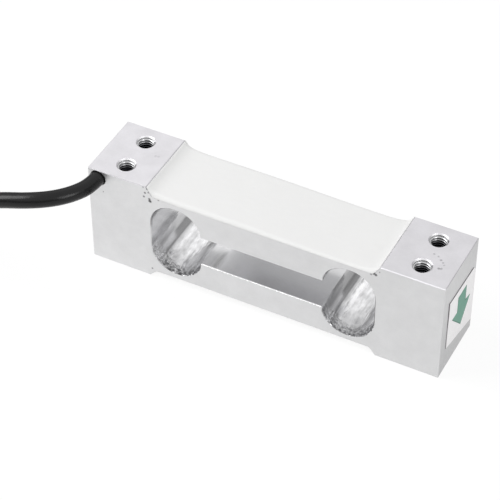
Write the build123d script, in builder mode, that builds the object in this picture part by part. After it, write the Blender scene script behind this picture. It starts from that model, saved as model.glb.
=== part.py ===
from build123d import *
import os
from math import cos, pi, radians, sin, tan

# Beam, milled from one bar of aluminium; the origin is the middle of its underside
beam_length = 130.0
beam_width = 27.3
beam_height = 40.0
edge_break = 0.2

# Shallow recesses in the top and the underside, where the strain gauges lie
recess_mouth = 85.2
recess_wall_run = 2.5
recess_corner_radius = 1.5
top_recess_depth = 3.9
bottom_recess_depth = 3.0

# Two tall windows joined by a slot leave four thin flexures
window_offset = 31.9
window_radius = 9.5
flexure_thickness = 2.0
slot_height = 11.6
cutout_edge_break = 0.25

# Threaded holes, two in each end block, tapped right through
screw_offset = 54.0
screw_spacing = 13.3
screw_radius = 3.0
screw_rim_radius = 3.45

# Cable hole in the front face, and the bore that carries its leads to the top recess
cable_diameter = 5.5
cable_hole_clearance = 0.25
cable_hole_from_end = 3.8
cable_hole_drop = 3.3
cable_hole_past_middle = 2.2
lead_bore_radius = 1.25
lead_bore_lift = 0.05

# A level bore and a slanted bore meet in the end block and take wires to the underside
wire_bore_radius = 0.7
wire_bore_lift = 0.05
wire_bore_from_middle = 9.5
slant_bore_entry = 0.8
slant_bore_lean = 6.1
slant_bore_overrun = 2.0

# Strain gauges: a foil grid on a film, glued over the thinnest part of each flexure
film_length = 8.0
film_width = 5.0
film_thickness = 0.1
film_corner = 0.4
foil_thickness = 0.05
strand_count = 6
strand_length = 3.6
strand_width = 0.28
strand_pitch = 0.62
tab_length = 1.3
tab_width = 1.1
tab_gap = 0.35

# Solder strips beside the gauges, with a grid of tinned pads
strip_offset = 14.0
strip_thickness = 0.3
strip_margin = 1.2
pad_columns = 3
pad_rows = 8
pad_pitch_along = 2.8
pad_pitch_across = 2.4
pad_size = 1.5
pad_thickness = 0.05
resistor_length = 3.4
resistor_width = 1.5
resistor_height = 0.5

# Wires: fine enamelled ones inside, and the cable's four insulated leads
wire_diameter = 0.2
wire_spacing = 0.3
wire_clearance = 0.03
wire_arch = 0.35
lead_diameter = 0.8
lead_spacing = 0.92
lead_bend = 1.6
lead_turn_run = 2.9
lead_fan_length = 1.1
strand_core_diameter = 0.44
drain_diameter = 0.36

# Poured sealant over the gauges, flush with the flexures' sides
sealant_thickness = 1.4
sealant_lip = 0.45
sealant_corner_radius = 3.0
sealant_end_run = 4.2
potting_length = 3.0

# Paper label on the free end, stuck on a little crooked
label_thickness = 0.15
label_margin = 0.45
label_width = 22.3
label_top = 29.9
label_fall = 1.0
label_cut = 2.1
label_left_height = 20.3
label_right_height = 22.8

# Free route of the cable: out of the hole, down to the table and up to the coil
cable_route = [
    (-61.2, -10.8, 36.7),
    (-61.2, -18.0, 36.7),
    (-64.2, -25.3, 37.3),
    (-69.1, -30.9, 37.6),
    (-76.1, -34.6, 37.0),
    (-84.8, -36.1, 35.0),
    (-93.7, -36.5, 31.4),
    (-102.0, -37.0, 26.5),
    (-109.4, -37.9, 20.6),
    (-116.4, -39.5, 14.4),
    (-123.6, -41.8, 9.0),
    (-131.6, -44.4, 5.0),
    (-140.2, -46.0, 3.05),
    (-149.8, -46.0, 2.8),
]

# Coil of the put-away length, and the tail that turns into its hollow
coil_centre = (-150.0, -14.0)
coil_outer_radius = 32.0
coil_turns = 2
coil_axis_height = 2.8
coil_wrap = 0.15
coil_turn_gap = 0.05
coil_rounding = 0.85
tail_radius = 18.0
tail_step = 22.5
tail_steps = 5
tail_end_height = 3.15

# Bare end of the cable: a shrunk sleeve, four stripped leads and the shield's drain wire
sleeve_length = 10.0
sleeve_overlap = 2.6
sleeve_wall = 0.35
sleeve_nose_radius = 1.9
tip_length = 4.5
sleeve_lead_run = 0.8
tail_lead_bend = 3.0

# Places worked out from the sizes above
top_floor = beam_height - top_recess_depth
bottom_floor = bottom_recess_depth
recess_floor = recess_mouth - 2 * recess_wall_run
window_top = top_floor - flexure_thickness
window_bottom = bottom_floor + flexure_thickness
window_height = window_top - window_bottom
window_middle = (window_top + window_bottom) / 2
cable_radius = cable_diameter / 2
cable_hole_radius = cable_radius + cable_hole_clearance
cable_hole_x = cable_hole_from_end - beam_length / 2
cable_hole_z = beam_height - cable_hole_drop
bore_mouth_x = recess_corner_radius - recess_floor / 2
lead_bore_z = top_floor + lead_bore_lift + lead_bore_radius
wire_bore_z = top_floor + wire_bore_lift + wire_bore_radius
pad_face = strip_thickness + pad_thickness
wire_level = pad_face + wire_diameter / 2 + wire_clearance
lead_level = pad_face + lead_diameter / 2 + wire_clearance
slant_low = Vector(-recess_floor / 2 - slant_bore_entry, -wire_bore_from_middle, bottom_floor - wire_level)
slant_high = Vector(slant_low.X - slant_bore_lean, -wire_bore_from_middle, top_floor + wire_level)
jacket_end_y = cable_route[0][1]

os.makedirs("parts", exist_ok=True)


def write(piece, name):
    """Label a finished piece and write it as a STEP file."""
    piece.label = name
    export_step(piece, f"parts/{name}.step")


def recess_outline(face, floor, mouth, floor_length, corner_radius):
    """Side view of a recess: sloped end walls that run into its floor in a small curve."""
    with BuildSketch(Plane.XZ) as outline:
        with BuildLine():
            Polyline(
                (-mouth / 2, face),
                (-floor_length / 2, floor),
                (floor_length / 2, floor),
                (mouth / 2, face),
                close=True,
            )
        make_face()
        corners = outline.vertices().sort_by(Axis.Y)
        fillet(corners[:2] if floor < face else corners[-2:], radius=corner_radius)
    return outline.sketch


def wire(points, bends, diameter):
    """A round wire along straight runs joined by arcs; bends holds one radius per corner."""
    with BuildPart() as strand:
        with BuildLine() as route:
            if len(points) > 2:
                FilletPolyline(*points, radius=bends)
            else:
                Line(*points)
        with BuildSketch(Plane(origin=route.line @ 0, z_dir=route.line % 0)):
            Circle(diameter / 2)
        sweep()
    return strand.part


def soft_bends(points):
    """Radii as large as the runs allow: 0.45 of the shorter run over the tangent of half the turn."""
    bends = []
    for before, corner, after in zip(points, points[1:], points[2:]):
        first_run = Vector(*corner) - Vector(*before)
        second_run = Vector(*after) - Vector(*corner)
        turn = radians(first_run.get_angle(second_run))
        bends.append(0.45 * min(first_run.length, second_run.length) / tan(turn / 2))
    return bends


# Beam: the block, its recesses, windows and slot, then every hole
with BuildPart() as beam_body:
    with BuildSketch(Plane.XZ):
        Rectangle(beam_length, beam_height, align=(Align.CENTER, Align.MIN))
    extrude(amount=beam_width / 2, both=True)
    for face, floor in ((beam_height, top_floor), (0, bottom_floor)):
        recess = recess_outline(face, floor, recess_mouth, recess_floor, recess_corner_radius)
        extrude(recess, amount=beam_width / 2, both=True, mode=Mode.SUBTRACT)
    levels = beam_body.edges().group_by(Axis.Z)
    chamfer(levels[0] + levels[-1] + beam_body.edges().filter_by(Axis.Z), length=edge_break)

    with BuildSketch(Plane.XZ):
        with Locations((-window_offset, window_middle), (window_offset, window_middle)):
            SlotOverall(window_height, 2 * window_radius, rotation=90)
        with Locations((0, window_middle)):
            Rectangle(2 * window_offset, slot_height)
    extrude(amount=beam_width / 2, both=True, mode=Mode.SUBTRACT)
    cutout_reach = window_offset + window_radius + 0.5
    cutout_edges = beam_body.edges().filter_by_position(Axis.X, -cutout_reach, cutout_reach)
    cutout_edges = cutout_edges.filter_by_position(Axis.Z, bottom_floor + 0.5, top_floor - 0.5)
    sides = cutout_edges.group_by(Axis.Y)
    chamfer(sides[0] + sides[-1], length=cutout_edge_break)

    with BuildSketch(Plane.XY):
        with GridLocations(2 * screw_offset, screw_spacing, 2, 2):
            Circle(screw_radius)
    extrude(amount=beam_height, mode=Mode.SUBTRACT)
    rims = beam_body.edges().filter_by(GeomType.CIRCLE).group_by(Axis.Z)
    chamfer(rims[0] + rims[-1], length=screw_rim_radius - screw_radius)

    with BuildSketch(Plane(origin=(cable_hole_x, -beam_width / 2, cable_hole_z), z_dir=(0, 1, 0))):
        Circle(cable_hole_radius)
    extrude(amount=beam_width / 2 + cable_hole_past_middle, mode=Mode.SUBTRACT)
    with BuildSketch(Plane(origin=(cable_hole_x, 0, lead_bore_z), z_dir=(1, 0, 0))):
        Circle(lead_bore_radius)
    extrude(amount=bore_mouth_x - cable_hole_x, mode=Mode.SUBTRACT)

    wire_bore_start = slant_high.X - wire_bore_radius
    with BuildSketch(Plane(origin=(wire_bore_start, -wire_bore_from_middle, wire_bore_z), z_dir=(1, 0, 0))):
        Circle(wire_bore_radius)
    extrude(amount=bore_mouth_x - wire_bore_start, mode=Mode.SUBTRACT)
    slant = (slant_high - slant_low).normalized()
    with BuildSketch(Plane(origin=slant_low - slant * slant_bore_overrun, z_dir=slant)):
        Circle(wire_bore_radius)
    extrude(amount=(slant_high - slant_low).length + slant_bore_overrun, mode=Mode.SUBTRACT)
write(beam_body.part, "beam_body")


def strain_gauge(side, floor, outward):
    """Film and foil grid of one gauge; the solder tabs point to the middle of the beam."""
    seat = Plane(origin=(side * window_offset, 0, floor), x_dir=(-side, 0, 0), z_dir=(0, 0, outward))
    with BuildPart() as film:
        with BuildSketch(seat):
            RectangleRounded(film_length, film_width, film_corner)
        extrude(amount=film_thickness)
    with BuildPart() as grid:
        with BuildSketch(seat.offset(film_thickness)):
            with GridLocations(0, strand_pitch, 1, strand_count):
                Rectangle(strand_length, strand_width)
            first = -(strand_count - 1) / 2 * strand_pitch
            for loop in range(strand_count - 1):
                end = -1 if loop % 2 == 0 else 1
                with Locations((end * strand_length / 2, first + (loop + 0.5) * strand_pitch)):
                    Rectangle(strand_width, strand_pitch + strand_width)
            for edge in (-1, 1):
                reach = tab_gap + tab_length
                with Locations((strand_length / 2 + reach / 2, edge * abs(first))):
                    Rectangle(reach + strand_width, strand_width)
                with Locations((strand_length / 2 + tab_gap + tab_length / 2, edge * abs(first))):
                    Rectangle(tab_length, tab_width)
        extrude(amount=foil_thickness)
    return film.part, grid.part


def tab_place(side, edge):
    """Middle of a gauge's solder tab, seen from above."""
    along = strand_length / 2 + tab_gap + tab_length / 2
    across = edge * (strand_count - 1) / 2 * strand_pitch
    return side * (window_offset - along), across


def pad_place(column, row):
    """Middle of a pad on a solder strip, seen from above; columns run along the beam."""
    along = (column - (pad_columns - 1) / 2) * pad_pitch_along - strip_offset
    across = (row - (pad_rows - 1) / 2) * pad_pitch_across
    return along, across


def solder_strip(floor, outward):
    """A thin board glued to the recess floor, and the pads on it."""
    seat = Plane(origin=(-strip_offset, 0, floor), z_dir=(0, 0, outward))
    with BuildPart() as board:
        with BuildSketch(seat):
            Rectangle(
                (pad_columns - 1) * pad_pitch_along + pad_size + strip_margin,
                (pad_rows - 1) * pad_pitch_across + pad_size + strip_margin,
            )
        extrude(amount=strip_thickness)
    with BuildPart() as pads:
        with BuildSketch(seat.offset(strip_thickness)):
            with GridLocations(pad_pitch_along, pad_pitch_across, pad_columns, pad_rows):
                Rectangle(pad_size, pad_size)
        extrude(amount=pad_thickness)
    return board.part, pads.part


def bridge_wires(floor, outward):
    """Four fine wires, each in a low arch from a gauge's tab to its pad on the strip."""
    tab_face = film_thickness + foil_thickness + wire_diameter / 2 + wire_clearance
    with BuildPart() as wires:
        for side, column in ((-1, 0), (1, pad_columns - 1)):
            for edge, row in ((-1, pad_rows // 2 - 1), (1, pad_rows // 2)):
                tab_x, tab_y = tab_place(side, edge)
                pad_x, pad_y = pad_place(column, row)
                start = Vector(tab_x, tab_y, floor + outward * tab_face)
                finish = Vector(pad_x, pad_y, floor + outward * wire_level)
                crest = (start + finish) / 2 + Vector(0, 0, outward * wire_arch)
                with BuildLine() as arch:
                    ThreePointArc(start, crest, finish)
                with BuildSketch(Plane(origin=arch.line @ 0, z_dir=arch.line % 0)):
                    Circle(wire_diameter / 2)
                sweep(path=arch.line)
    return wires.part


# Gauges, solder strips and fine wires on each face of the beam
top_pieces = []
bottom_pieces = []
for face, floor, outward, kept in (
    ("top", top_floor, 1, top_pieces),
    ("bottom", bottom_floor, -1, bottom_pieces),
):
    for end, side in (("cable_end", -1), ("label_end", 1)):
        film, grid = strain_gauge(side, floor, outward)
        write(film, f"gauge_film_{face}_{end}")
        write(grid, f"gauge_grid_{face}_{end}")
        kept += [film, grid]
    board, pads = solder_strip(floor, outward)
    write(board, f"{face}_solder_strip")
    write(pads, f"{face}_solder_pads")
    wires = bridge_wires(floor, outward)
    write(wires, f"{face}_bridge_wires")
    kept += [board, pads, wires]

# Trim resistors that set the bridge's zero and its span, soldered across two columns of pads
for name, row in (("zero_trim_resistor", 2), ("span_trim_resistor", 5)):
    left = pad_place(1, row)
    right = pad_place(2, row)
    with BuildPart() as resistor:
        with BuildSketch(Plane.XY.offset(top_floor + pad_face)):
            with Locations(((left[0] + right[0]) / 2, left[1])):
                Rectangle(resistor_length, resistor_width)
        extrude(amount=resistor_height)
    write(resistor.part, name)
    top_pieces.append(resistor.part)

# Three enamelled wires that join the lower gauges to the upper strip through the end block
with BuildPart() as cross_wires:
    for column in range(pad_columns):
        lane = -wire_bore_from_middle - (column - (pad_columns - 1) / 2) * wire_spacing
        pad_x, pad_y = pad_place(column, 0)
        turn_x = pad_x - pad_pitch_along / 2
        low_z = bottom_floor - wire_level
        high_z = top_floor + wire_level
        add(
            wire(
                [
                    (pad_x, pad_y, low_z),
                    (turn_x, lane, low_z),
                    (slant_low.X, lane, low_z),
                    (slant_high.X, lane, high_z),
                    (turn_x, lane, high_z),
                    (pad_x, pad_y, high_z),
                ],
                [1.0, 0.5, 0.4, 1.0],
                wire_diameter,
            )
        )
write(cross_wires.part, "cross_wires")
top_pieces.append(cross_wires.part)
bottom_pieces.append(cross_wires.part)

# Cable leads from the jacket's end, through the lead bore and out to the upper strip
inner_leads = []
half_pack = lead_spacing / 2
fan_x = bore_mouth_x + lead_fan_length
for colour, toward_bore, lift, row in (
    ("red", 1, 1, 1),
    ("green", 1, -1, 2),
    ("black", -1, -1, 5),
    ("white", -1, 1, 6),
):
    hole_x = cable_hole_x + toward_bore * half_pack
    bore_y = -toward_bore * half_pack
    bore_z = lead_bore_z + lift * half_pack
    pad_x, pad_y = pad_place(0, row)
    hole_bend = lead_bend if toward_bore > 0 else lead_bend + lead_spacing
    lead = wire(
        [
            (hole_x, jacket_end_y, cable_hole_z + lift * half_pack),
            (hole_x, bore_y - lead_turn_run, bore_z),
            (hole_x, bore_y, bore_z),
            (bore_mouth_x - recess_corner_radius, bore_y, bore_z),
            (fan_x, pad_y, top_floor + lead_level),
            (pad_x, pad_y, top_floor + lead_level),
        ],
        [lead_bend, hole_bend, lead_bend, lead_bend],
        lead_diameter,
    )
    write(lead, f"inner_lead_{colour}")
    inner_leads.append(lead)

# Potting that grips the leads just inside the jacket's end and seals the hole
with BuildPart() as cable_potting:
    with BuildSketch(Plane(origin=(cable_hole_x, jacket_end_y, cable_hole_z), z_dir=(0, 1, 0))):
        Circle(cable_hole_radius)
    extrude(amount=potting_length)
    for lead in inner_leads:
        add(lead, mode=Mode.SUBTRACT)
write(cable_potting.part, "cable_potting")


def sealant(face, floor, outward, buried):
    """Sealant poured wall to wall over a recess, higher at its ends, moulded round what it buries."""
    level = floor + outward * sealant_thickness
    with BuildPart() as fill:
        whole = recess_outline(face, floor, recess_mouth, recess_floor, recess_corner_radius)
        extrude(whole, amount=beam_width / 2, both=True)
        open_mouth = recess_mouth - 2 * sealant_lip
        open_floor = open_mouth - 2 * sealant_end_run
        air = recess_outline(face, level, open_mouth, open_floor, sealant_corner_radius)
        extrude(air, amount=beam_width / 2, both=True, mode=Mode.SUBTRACT)
        for piece in buried:
            add(piece, mode=Mode.SUBTRACT)
    return fill.part


write(sealant(beam_height, top_floor, 1, top_pieces + inner_leads), "top_sealant")
write(sealant(0, bottom_floor, -1, bottom_pieces), "bottom_sealant")

# Label on the free end: hand cut, one corner clipped, its lower edge falling to the back
label_back = beam_width / 2 - label_margin
label_front = label_back - label_width
with BuildPart() as load_label:
    with BuildSketch(Plane(origin=(beam_length / 2, 0, 0), x_dir=(0, 1, 0), z_dir=(1, 0, 0))):
        with BuildLine():
            Polyline(
                (label_front, label_top),
                (label_back - label_cut, label_top - label_fall),
                (label_back, label_top - label_fall - label_cut),
                (label_back, label_top - label_fall - label_cut - label_right_height),
                (label_front, label_top - label_left_height),
                close=True,
            )
        make_face()
    extrude(amount=label_thickness)
write(load_label.part, "load_label")

# Cable jacket from inside its hole to the coil
jacket_bends = soft_bends(cable_route)
cable_jacket = wire(cable_route, jacket_bends, cable_diameter)
write(cable_jacket, "cable_jacket")
print("cable bend radii, mm:", [round(bend, 1) for bend in jacket_bends])

# Tail of the cable: it leaves the inmost turn and bends into the coil's hollow
coil_x, coil_y = coil_centre
turn_pitch = cable_diameter + coil_turn_gap
inmost_radius = coil_outer_radius - coil_turns * turn_pitch
half_run = tail_radius * tan(radians(tail_step / 2))
tail_middle_y = coil_y - inmost_radius + tail_radius
corner_radius = tail_radius / cos(radians(tail_step / 2))
tail_route = [(coil_x + half_run, coil_y - inmost_radius, coil_axis_height)]
for step in range(tail_steps):
    angle = radians(-90 - tail_step * (step + 0.5))
    rise = (tail_end_height - coil_axis_height) * (step + 1) / (tail_steps + 1)
    tail_route.append(
        (
            coil_x + corner_radius * cos(angle),
            tail_middle_y + corner_radius * sin(angle),
            coil_axis_height + rise,
        )
    )
heading_angle = radians(180 - tail_step * tail_steps)
heading = Vector(cos(heading_angle), sin(heading_angle), 0)
sideways = Vector(sin(heading_angle), -cos(heading_angle), 0)
tail_end = Vector(*tail_route[-1]) + heading * 2 * half_run
tail_end = Vector(tail_end.X, tail_end.Y, tail_end_height)
tail_route.append(tuple(tail_end))
tail_bends = soft_bends(tail_route)
cable_tail = wire(tail_route, tail_bends, cable_diameter)
write(cable_tail, "cable_tail")
print("tail bend radii, mm:", [round(bend, 1) for bend in tail_bends])

# Coil: the outer shape of its turns, which lie side by side on the table
with BuildPart() as cable_coil:
    with BuildSketch(Plane.XY.offset(coil_axis_height - cable_radius)):
        with Locations(coil_centre):
            Circle(coil_outer_radius + cable_radius + coil_wrap)
        with Locations((coil_x - turn_pitch / 4, coil_y)):
            Circle(inmost_radius, mode=Mode.SUBTRACT)
    extrude(amount=cable_diameter)
    fillet(cable_coil.edges().filter_by(GeomType.CIRCLE), radius=cable_radius * coil_rounding)
    add(cable_jacket, mode=Mode.SUBTRACT)
    add(cable_tail, mode=Mode.SUBTRACT)
write(cable_coil.part, "cable_coil")

# Stripped leads at the cable's bare end, each with a tinned tip
tail_leads = []
with BuildPart() as tinned_tips:
    for colour, across, lift, places in (
        ("red", -1, 1, ((-9.8, 17.2, 1.9), (-2.5, 19.0, 0.6), (8.0, 17.6, 0.45))),
        ("green", -1, -1, ((-9.2, 16.0, 1.2), (-2.5, 16.0, 0.45), (6.5, 13.8, 0.45))),
        ("black", 1, -1, ((-8.4, 14.2, 1.1), (-3.0, 11.4, 0.45), (5.0, 8.6, 0.45))),
        ("white", 1, 1, ((-9.6, 13.6, 2.6), (-5.6, 8.9, 0.6), (1.0, 3.5, 0.45))),
    ):
        offset = sideways * across * half_pack + Vector(0, 0, lift * half_pack)
        start = tail_end + offset
        route = [start, start + heading * (sleeve_length - sleeve_overlap + sleeve_lead_run)]
        route += [Vector(coil_x + x, coil_y + y, z) for x, y, z in places]
        last_run = route[-1] - route[-2]
        strip_point = route[-1] - last_run.normalized() * tip_length
        bends = [min(bend, tail_lead_bend) for bend in soft_bends([tuple(place) for place in route])]
        lead = wire([tuple(place) for place in route[:-1] + [strip_point]], bends, lead_diameter)
        write(lead, f"tail_lead_{colour}")
        tail_leads.append(lead)
        with BuildSketch(Plane(origin=strip_point, z_dir=last_run)):
            Circle(strand_core_diameter / 2)
        extrude(amount=tip_length)
write(tinned_tips.part, "tinned_tips")

# Drain wire of the shield, bare, between the leads
drain_route = [tail_end, tail_end + heading * (sleeve_length - sleeve_overlap + sleeve_lead_run)]
for x, y, z in ((-8.8, 15.3, 1.2), (-2.8, 13.8, 0.3), (5.8, 11.3, 0.3)):
    drain_route.append(Vector(coil_x + x, coil_y + y, z))
drain_bends = [min(bend, tail_lead_bend) for bend in soft_bends([tuple(place) for place in drain_route])]
drain_wire = wire([tuple(place) for place in drain_route], drain_bends, drain_diameter)
write(drain_wire, "shield_drain_wire")

# Shrunk sleeve over the jacket's end, necked down onto the leads
with BuildPart() as end_sleeve:
    mouth = Plane(origin=tail_end - heading * sleeve_overlap, z_dir=heading)
    with BuildSketch(mouth):
        Circle(cable_radius + sleeve_wall)
    extrude(amount=sleeve_overlap + sleeve_wall)
    with BuildSketch(mouth.offset(sleeve_overlap + sleeve_wall)):
        Circle(cable_radius + sleeve_wall)
    with BuildSketch(mouth.offset(sleeve_length)):
        Circle(sleeve_nose_radius)
    loft()
    add(cable_tail, mode=Mode.SUBTRACT)
    for lead in tail_leads + [drain_wire]:
        add(lead, mode=Mode.SUBTRACT)
write(end_sleeve.part, "end_sleeve")

turn_lengths = [
    2 * pi * (coil_outer_radius - (turn + 0.5) * turn_pitch) for turn in range(coil_turns)
]
print("coil turns, mm:", [round(length, 1) for length in turn_lengths])
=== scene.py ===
# Weighing load cell: an aluminium beam with sealed strain gauges and a black cable
import math

import bmesh
import bpy
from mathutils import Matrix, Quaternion, Vector, noise


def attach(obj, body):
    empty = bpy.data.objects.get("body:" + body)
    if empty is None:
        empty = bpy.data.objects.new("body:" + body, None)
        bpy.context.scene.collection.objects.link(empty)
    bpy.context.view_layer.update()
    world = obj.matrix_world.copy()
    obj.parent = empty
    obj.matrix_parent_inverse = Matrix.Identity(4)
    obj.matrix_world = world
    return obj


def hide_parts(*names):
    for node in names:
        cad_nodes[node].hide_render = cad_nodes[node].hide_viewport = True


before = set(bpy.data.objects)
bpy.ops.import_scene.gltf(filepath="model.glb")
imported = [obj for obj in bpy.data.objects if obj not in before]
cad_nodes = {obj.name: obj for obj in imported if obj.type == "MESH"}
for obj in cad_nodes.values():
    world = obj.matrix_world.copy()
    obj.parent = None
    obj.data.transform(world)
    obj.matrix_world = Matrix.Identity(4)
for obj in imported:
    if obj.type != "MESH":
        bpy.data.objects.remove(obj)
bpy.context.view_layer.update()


# Camera: a long lens from above and in front, a little past the label's end of the beam.
# The photograph's seven block corners and four screw holes fix its place.
camera_place = Vector((0.216385, -0.440127, 0.474395))
camera_ahead = Vector((-0.336034, 0.650614, -0.681016))
camera_roll = -0.15
lens_length = 143.66
lens = bpy.data.cameras.new("camera")
lens.lens = lens_length
lens.sensor_width = 36.0
lens.clip_start = 0.01
camera = bpy.data.objects.new("camera", lens)
bpy.context.scene.collection.objects.link(camera)
camera.location = camera_place
level_turn = camera_ahead.to_track_quat("-Z", "Y")
camera.rotation_mode = "QUATERNION"
camera.rotation_quaternion = level_turn @ Quaternion((0, 0, 1), math.radians(camera_roll))
bpy.context.scene.camera = camera


# Cable: four cores and a shield in a round black jacket of soft vinyl.
# It leaves the fixed end's front face and bends down to the table; what is left over is coiled.
mm = 0.001
cable_diameter = 5.5
cable_exit = (-61.2, -13.65, 36.7)
cable_route = [
    (-61.2, -10.8, 36.7),
    (-61.2, -18.0, 36.7),
    (-64.2, -25.3, 37.3),
    (-69.1, -30.9, 37.6),
    (-76.1, -34.6, 37.0),
    (-84.8, -36.1, 35.0),
    (-93.7, -36.5, 31.4),
    (-102.0, -37.0, 26.5),
    (-109.4, -37.9, 20.6),
    (-116.4, -39.5, 14.4),
    (-123.6, -41.8, 9.0),
    (-131.6, -44.4, 5.0),
    (-140.2, -46.0, 3.05),
    (-149.8, -46.0, 2.8),
]
coil_centre = Vector((-150.0, -14.0, 0.0))
coil_radius = 32.0
coil_turns = 2
coil_height = 2.8
turn_pitch = 5.55
points_per_turn = 16
tail_radius = 18.0
tail_points = 5
tail_end_height = 3.15


def smooth_curve(name, points, diameter):
    """A round cord along one smooth open spline; points are in millimetres."""
    curve = bpy.data.curves.new(name, "CURVE")
    curve.dimensions = "3D"
    curve.resolution_u = 10
    curve.bevel_depth = 1.0
    curve.bevel_resolution = 6
    curve.use_fill_caps = True
    spline = curve.splines.new("NURBS")
    spline.points.add(len(points) - 1)
    for control, (x, y, z) in zip(spline.points, points):
        control.co = (x * mm, y * mm, z * mm, 1.0)
        control.radius = diameter / 2 * mm
    spline.order_u = 3
    spline.use_endpoint_u = True
    cord = bpy.data.objects.new(name, curve)
    bpy.context.scene.collection.objects.link(cord)
    return cord


# Turns run clockwise seen from above, each one pitch inside the one before
cable_points = list(cable_route)
turn_step = 2 * math.pi / points_per_turn
outside_turn = 1 / math.cos(turn_step / 2)
for step in range(coil_turns * points_per_turn):
    along = (step + 0.5) / points_per_turn
    radius = (coil_radius - along * turn_pitch) * outside_turn
    angle = -math.pi / 2 - (step + 0.5) * turn_step
    cable_points.append(
        (
            coil_centre.x + radius * math.cos(angle),
            coil_centre.y + radius * math.sin(angle),
            coil_height,
        )
    )
inmost_radius = coil_radius - coil_turns * turn_pitch
tail_centre = coil_centre + Vector((0, tail_radius - inmost_radius, 0))
for step in range(tail_points):
    angle = -math.pi / 2 - (step + 0.5) * turn_step
    rise = (tail_end_height - coil_height) * (step + 1) / (tail_points + 1)
    cable_points.append(
        (
            tail_centre.x + tail_radius * outside_turn * math.cos(angle),
            tail_centre.y + tail_radius * outside_turn * math.sin(angle),
            coil_height + rise,
        )
    )
tail_heading = math.pi - tail_points * turn_step
tail_run = 2 * tail_radius * math.tan(turn_step / 2)
last_x, last_y, _ = cable_points[-1]
cable_points.append(
    (
        last_x + tail_run * math.cos(tail_heading),
        last_y + tail_run * math.sin(tail_heading),
        tail_end_height,
    )
)
signal_cable = smooth_curve("signal_cable", cable_points, cable_diameter)
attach(signal_cable, "root")
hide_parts("cable_jacket", "cable_coil", "cable_tail")
lead_colours = ("red", "green", "black", "white")
bare_end = ["end_sleeve", "tinned_tips", "shield_drain_wire"]
bare_end += [f"tail_lead_{colour}" for colour in lead_colours]


def calculate(tree, operation, *values):
    """A Math node on sockets or plain numbers; gives its result socket."""
    node = tree.nodes.new("ShaderNodeMath")
    node.operation = operation
    for place, value in enumerate(values):
        if isinstance(value, bpy.types.NodeSocket):
            tree.links.new(value, node.inputs[place])
        else:
            node.inputs[place].default_value = value
    return node.outputs["Value"]


def fade(tree, value, start, finish, low=0.0, high=1.0):
    """Goes smoothly from low to high while the value goes from start to finish."""
    node = tree.nodes.new("ShaderNodeMapRange")
    node.interpolation_type = "SMOOTHSTEP"
    tree.links.new(value, node.inputs["Value"])
    node.inputs["From Min"].default_value = start
    node.inputs["From Max"].default_value = finish
    node.inputs["To Min"].default_value = low
    node.inputs["To Max"].default_value = high
    return node.outputs["Result"]


def blend_colours(tree, share, first, second):
    """Mixes two colours, each a socket or three numbers, by a share."""
    node = tree.nodes.new("ShaderNodeMix")
    node.data_type = "RGBA"
    tree.links.new(share, node.inputs["Factor"])
    for name, colour in (("A", first), ("B", second)):
        target = [s for s in node.inputs if s.name == name and s.type == "RGBA"][0]
        if isinstance(colour, bpy.types.NodeSocket):
            tree.links.new(colour, target)
        else:
            target.default_value = (*colour, 1.0)
    return [s for s in node.outputs if s.type == "RGBA"][0]


def tint(tree, colour, shade):
    """A colour, a socket or three numbers, made lighter or darker by a shade socket."""
    node = tree.nodes.new("ShaderNodeVectorMath")
    node.operation = "SCALE"
    if isinstance(colour, bpy.types.NodeSocket):
        tree.links.new(colour, node.inputs[0])
    else:
        node.inputs[0].default_value = colour
    tree.links.new(shade, node.inputs["Scale"])
    return node.outputs["Vector"]


def place_in_mm(tree, stretch=(1, 1, 1)):
    """Object coordinates in millimetres, stretched along each axis if asked."""
    coordinates = tree.nodes.new("ShaderNodeTexCoord")
    mapping = tree.nodes.new("ShaderNodeMapping")
    mapping.inputs["Scale"].default_value = [factor / mm for factor in stretch]
    tree.links.new(coordinates.outputs["Object"], mapping.inputs["Vector"])
    return mapping.outputs["Vector"]


def axes_in_mm(tree):
    """Object coordinates in millimetres as three sockets: along, across and up the beam."""
    split = tree.nodes.new("ShaderNodeSeparateXYZ")
    tree.links.new(place_in_mm(tree), split.inputs["Vector"])
    return split.outputs["X"], split.outputs["Y"], split.outputs["Z"]


def speckle(tree, place, size, detail=2.0, roughness=0.55):
    """Noise whose blotches are about as large as size, in millimetres."""
    node = tree.nodes.new("ShaderNodeTexNoise")
    node.inputs["Scale"].default_value = 1 / size
    node.inputs["Detail"].default_value = detail
    node.inputs["Roughness"].default_value = roughness
    tree.links.new(place, node.inputs["Vector"])
    return node.outputs["Fac"]


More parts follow.
